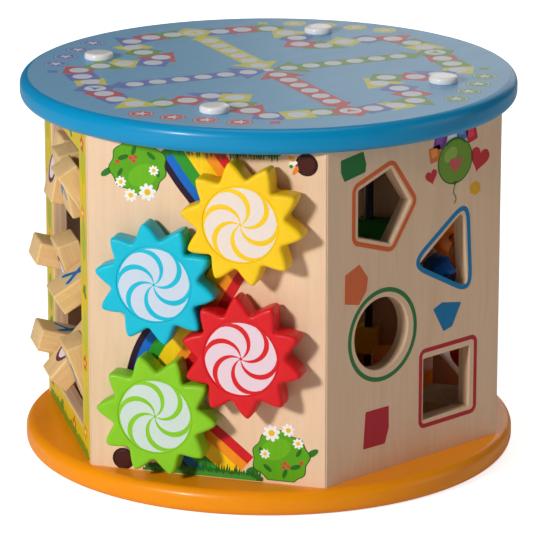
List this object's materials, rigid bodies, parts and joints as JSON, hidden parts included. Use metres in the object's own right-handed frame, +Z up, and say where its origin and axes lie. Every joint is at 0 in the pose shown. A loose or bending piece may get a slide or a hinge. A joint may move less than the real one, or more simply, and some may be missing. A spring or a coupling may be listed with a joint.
{
  "type": "shape sorter",
  "caption": "Six-sided wooden activity box with shape sorting holes, meshing gears, turning tiles, bead abacus, sliders and a clock between two round discs.",
  "frame": {"origin": "centre of the underside of the base disc", "axes": "+Z up; the panel with the shape sorting holes faces -Y; +X to the right when looking at that panel"},
  "size_m": [0.3058, 0.3, 0.236],
  "materials": {
    "base_paint": "gloss orange paint on wood",
    "lid_paint": "gloss blue paint on wood with a printed game board",
    "plywood": "clear lacquered pale plywood with printed pictures",
    "tile_frame": "plywood printed yellow",
    "glue_block": "bare pine",
    "steel": "zinc plated",
    "cap_white": "gloss white",
    "plug_brown": "satin dark brown",
    "washer": "natural nylon",
    "gear_yellow": "satin yellow",
    "gear_cyan": "satin cyan",
    "gear_red": "satin red",
    "gear_green": "satin lime green",
    "tile_wood": "smooth sanded beech",
    "dowel": "beech dowel",
    "bead_red": "gloss paint",
    "bead_blue": "gloss paint",
    "bead_orange": "gloss paint",
    "bead_green": "gloss paint",
    "bead_yellow": "gloss paint",
    "rod_navy": "navy enamel"
  },
  "bodies": {
    "root": {"base_disc": "base_paint", "lid_disc": "lid_paint", "gear_panel": "plywood", "sorter_panel": "plywood", "abacus_panel": "plywood", "slider_panel": "plywood", "clock_panel": "plywood", "tile_panel": "tile_frame", "lid_cleats": "glue_block", "base_cleats": "glue_block", "lid_screws": "steel", "lid_caps": "cap_white", "base_screws": "steel", "panel_plugs": "plug_brown", "gear_pins": "steel", "gear_washers": "washer", "tile_axles": "dowel", "abacus_rods": "steel", "slider_rods": "rod_navy", "clock_pin": "steel"},
    "gear_yellow": {"gear_yellow": "gear_yellow", "badge_yellow": "gear_yellow"},
    "gear_cyan": {"gear_cyan": "gear_cyan", "badge_cyan": "gear_cyan"},
    "gear_red": {"gear_red": "gear_red", "badge_red": "gear_red"},
    "gear_green": {"gear_green": "gear_green", "badge_green": "gear_green"},
    "tile_top_left": {"tile_top_left": "tile_wood"},
    "tile_top_centre": {"tile_top_centre": "tile_wood"},
    "tile_top_right": {"tile_top_right": "tile_wood"},
    "tile_middle_left": {"tile_middle_left": "tile_wood"},
    "tile_middle_centre": {"tile_middle_centre": "tile_wood"},
    "tile_middle_right": {"tile_middle_right": "tile_wood"},
    "tile_bottom_left": {"tile_bottom_left": "tile_wood"},
    "tile_bottom_centre": {"tile_bottom_centre": "tile_wood"},
    "tile_bottom_right": {"tile_bottom_right": "tile_wood"},
    "bead_red_left": {"bead_red_left": "bead_red"},
    "bead_red_right": {"bead_red_right": "bead_red"},
    "bead_blue_left": {"bead_blue_left": "bead_blue"},
    "bead_blue_right": {"bead_blue_right": "bead_blue"},
    "bead_orange_left": {"bead_orange_left": "bead_orange"},
    "bead_orange_right": {"bead_orange_right": "bead_orange"},
    "bead_green_left": {"bead_green_left": "bead_green"},
    "bead_green_right": {"bead_green_right": "bead_green"},
    "bead_yellow_left": {"bead_yellow_left": "bead_yellow"},
    "bead_yellow_right": {"bead_yellow_right": "bead_yellow"},
    "slider_yellow": {"knob_yellow": "bead_yellow", "runner_yellow": "bead_yellow"},
    "slider_green": {"knob_green": "bead_green", "runner_green": "bead_green"},
    "slider_red": {"knob_red": "bead_red", "runner_red": "bead_red"},
    "hour_hand": {"hour_hand": "gear_red"},
    "minute_hand": {"minute_hand": "bead_blue"},
    "block_cylinder": {"block_cylinder": "bead_green"},
    "block_cube": {"block_cube": "bead_red"},
    "block_pentagon": {"block_pentagon": "bead_orange"},
    "block_triangle": {"block_triangle": "bead_blue"}
  },
  "joints": [
    {"name": "gear_yellow_spin", "type": "hinge", "parent": "root", "child": "gear_yellow", "pos_m": [-0.0955, -0.08539, 0.1754], "axis": [-0.866, -0.5, 0], "continuous": true},
    {"name": "gear_cyan_spin", "type": "hinge", "parent": "root", "child": "gear_cyan", "pos_m": [-0.1217, -0.04001, 0.1354], "axis": [-0.866, -0.5, 0], "continuous": true},
    {"name": "gear_red_spin", "type": "hinge", "parent": "root", "child": "gear_red", "pos_m": [-0.0955, -0.08539, 0.0954], "axis": [-0.866, -0.5, 0], "continuous": true},
    {"name": "gear_green_spin", "type": "hinge", "parent": "root", "child": "gear_green", "pos_m": [-0.1217, -0.04001, 0.0554], "axis": [-0.866, -0.5, 0], "continuous": true},
    {"name": "tile_top_left_turn", "type": "hinge", "parent": "root", "child": "tile_top_left", "pos_m": [-0.08995, 0.086, 0.171], "axis": [-0.5, -0.866, 0], "continuous": true},
    {"name": "tile_top_centre_turn", "type": "hinge", "parent": "root", "child": "tile_top_centre", "pos_m": [-0.1047, 0.06045, 0.171], "axis": [-0.5, -0.866, 0], "continuous": true},
    {"name": "tile_top_right_turn", "type": "hinge", "parent": "root", "child": "tile_top_right", "pos_m": [-0.11945, 0.0349, 0.171], "axis": [-0.5, -0.866, 0], "continuous": true},
    {"name": "tile_middle_left_turn", "type": "hinge", "parent": "root", "child": "tile_middle_left", "pos_m": [-0.08995, 0.086, 0.116], "axis": [-0.5, -0.866, 0], "continuous": true},
    {"name": "tile_middle_centre_turn", "type": "hinge", "parent": "root", "child": "tile_middle_centre", "pos_m": [-0.1047, 0.06045, 0.116], "axis": [-0.5, -0.866, 0], "continuous": true},
    {"name": "tile_middle_right_turn", "type": "hinge", "parent": "root", "child": "tile_middle_right", "pos_m": [-0.11945, 0.0349, 0.116], "axis": [-0.5, -0.866, 0], "continuous": true},
    {"name": "tile_bottom_left_turn", "type": "hinge", "parent": "root", "child": "tile_bottom_left", "pos_m": [-0.08995, 0.086, 0.061], "axis": [-0.5, -0.866, 0], "continuous": true},
    {"name": "tile_bottom_centre_turn", "type": "hinge", "parent": "root", "child": "tile_bottom_centre", "pos_m": [-0.1047, 0.06045, 0.061], "axis": [-0.5, -0.866, 0], "continuous": true},
    {"name": "tile_bottom_right_turn", "type": "hinge", "parent": "root", "child": "tile_bottom_right", "pos_m": [-0.11945, 0.0349, 0.061], "axis": [-0.5, -0.866, 0], "continuous": true},
    {"name": "bead_red_left_slide", "type": "slide", "parent": "root", "child": "bead_red_left", "axis": [0.5, 0.866, 0], "range_m": [-0.0009, 0.0237]},
    {"name": "bead_red_right_slide", "type": "slide", "parent": "root", "child": "bead_red_right", "axis": [0.5, 0.866, 0], "range_m": [-0.0167, 0.0079]},
    {"name": "bead_blue_left_slide", "type": "slide", "parent": "root", "child": "bead_blue_left", "axis": [0.5, 0.866, 0], "range_m": [-0.0229, 0.0017]},
    {"name": "bead_blue_right_slide", "type": "slide", "parent": "root", "child": "bead_blue_right", "axis": [0.5, 0.866, 0], "range_m": [-0.0227, 0.0019]},
    {"name": "bead_orange_left_slide", "type": "slide", "parent": "root", "child": "bead_orange_left", "axis": [0.5, 0.866, 0], "range_m": [-0.0049, 0.0197]},
    {"name": "bead_orange_right_slide", "type": "slide", "parent": "root", "child": "bead_orange_right", "axis": [0.5, 0.866, 0], "range_m": [-0.0097, 0.0149]},
    {"name": "bead_green_left_slide", "type": "slide", "parent": "root", "child": "bead_green_left", "axis": [0.5, 0.866, 0], "range_m": [-0.0129, 0.0117]},
    {"name": "bead_green_right_slide", "type": "slide", "parent": "root", "child": "bead_green_right", "axis": [0.5, 0.866, 0], "range_m": [-0.0197, 0.0049]},
    {"name": "bead_yellow_left_slide", "type": "slide", "parent": "root", "child": "bead_yellow_left", "axis": [0.5, 0.866, 0], "range_m": [-0.0009, 0.0237]},
    {"name": "bead_yellow_right_slide", "type": "slide", "parent": "root", "child": "bead_yellow_right", "axis": [0.5, 0.866, 0], "range_m": [-0.0137, 0.0109]},
    {"name": "slider_yellow_travel", "type": "slide", "parent": "root", "child": "slider_yellow", "axis": [0, 0, 1], "range_m": [0, 0.044]},
    {"name": "slider_green_travel", "type": "slide", "parent": "root", "child": "slider_green", "axis": [0, 0, 1], "range_m": [0, 0.092]},
    {"name": "slider_red_travel", "type": "slide", "parent": "root", "child": "slider_red", "axis": [0, 0, 1], "range_m": [-0.118, 0.046]},
    {"name": "hour_hand_turn", "type": "hinge", "parent": "root", "child": "hour_hand", "pos_m": [0, 0.1294, 0.118], "axis": [0, 1, 0], "continuous": true},
    {"name": "minute_hand_turn", "type": "hinge", "parent": "root", "child": "minute_hand", "pos_m": [0, 0.1294, 0.118], "axis": [0, 1, 0], "continuous": true},
    {"name": "block_cylinder_lift", "type": "slide", "parent": "root", "child": "block_cylinder", "axis": [0, 0, 1], "range_m": [0, 0.06]},
    {"name": "block_cube_lift", "type": "slide", "parent": "root", "child": "block_cube", "axis": [0, 0, 1], "range_m": [0, 0.06]},
    {"name": "block_pentagon_lift", "type": "slide", "parent": "root", "child": "block_pentagon", "axis": [0, 0, 1], "range_m": [0, 0.06]},
    {"name": "block_triangle_lift", "type": "slide", "parent": "root", "child": "block_triangle", "axis": [0, 0, 1], "range_m": [0, 0.06]}
  ],
  "couplings": [
    {"joint": "gear_cyan_spin", "follows": "gear_yellow_spin", "ratio": -1},
    {"joint": "gear_red_spin", "follows": "gear_yellow_spin", "ratio": 1},
    {"joint": "gear_green_spin", "follows": "gear_yellow_spin", "ratio": -1}
  ]
}
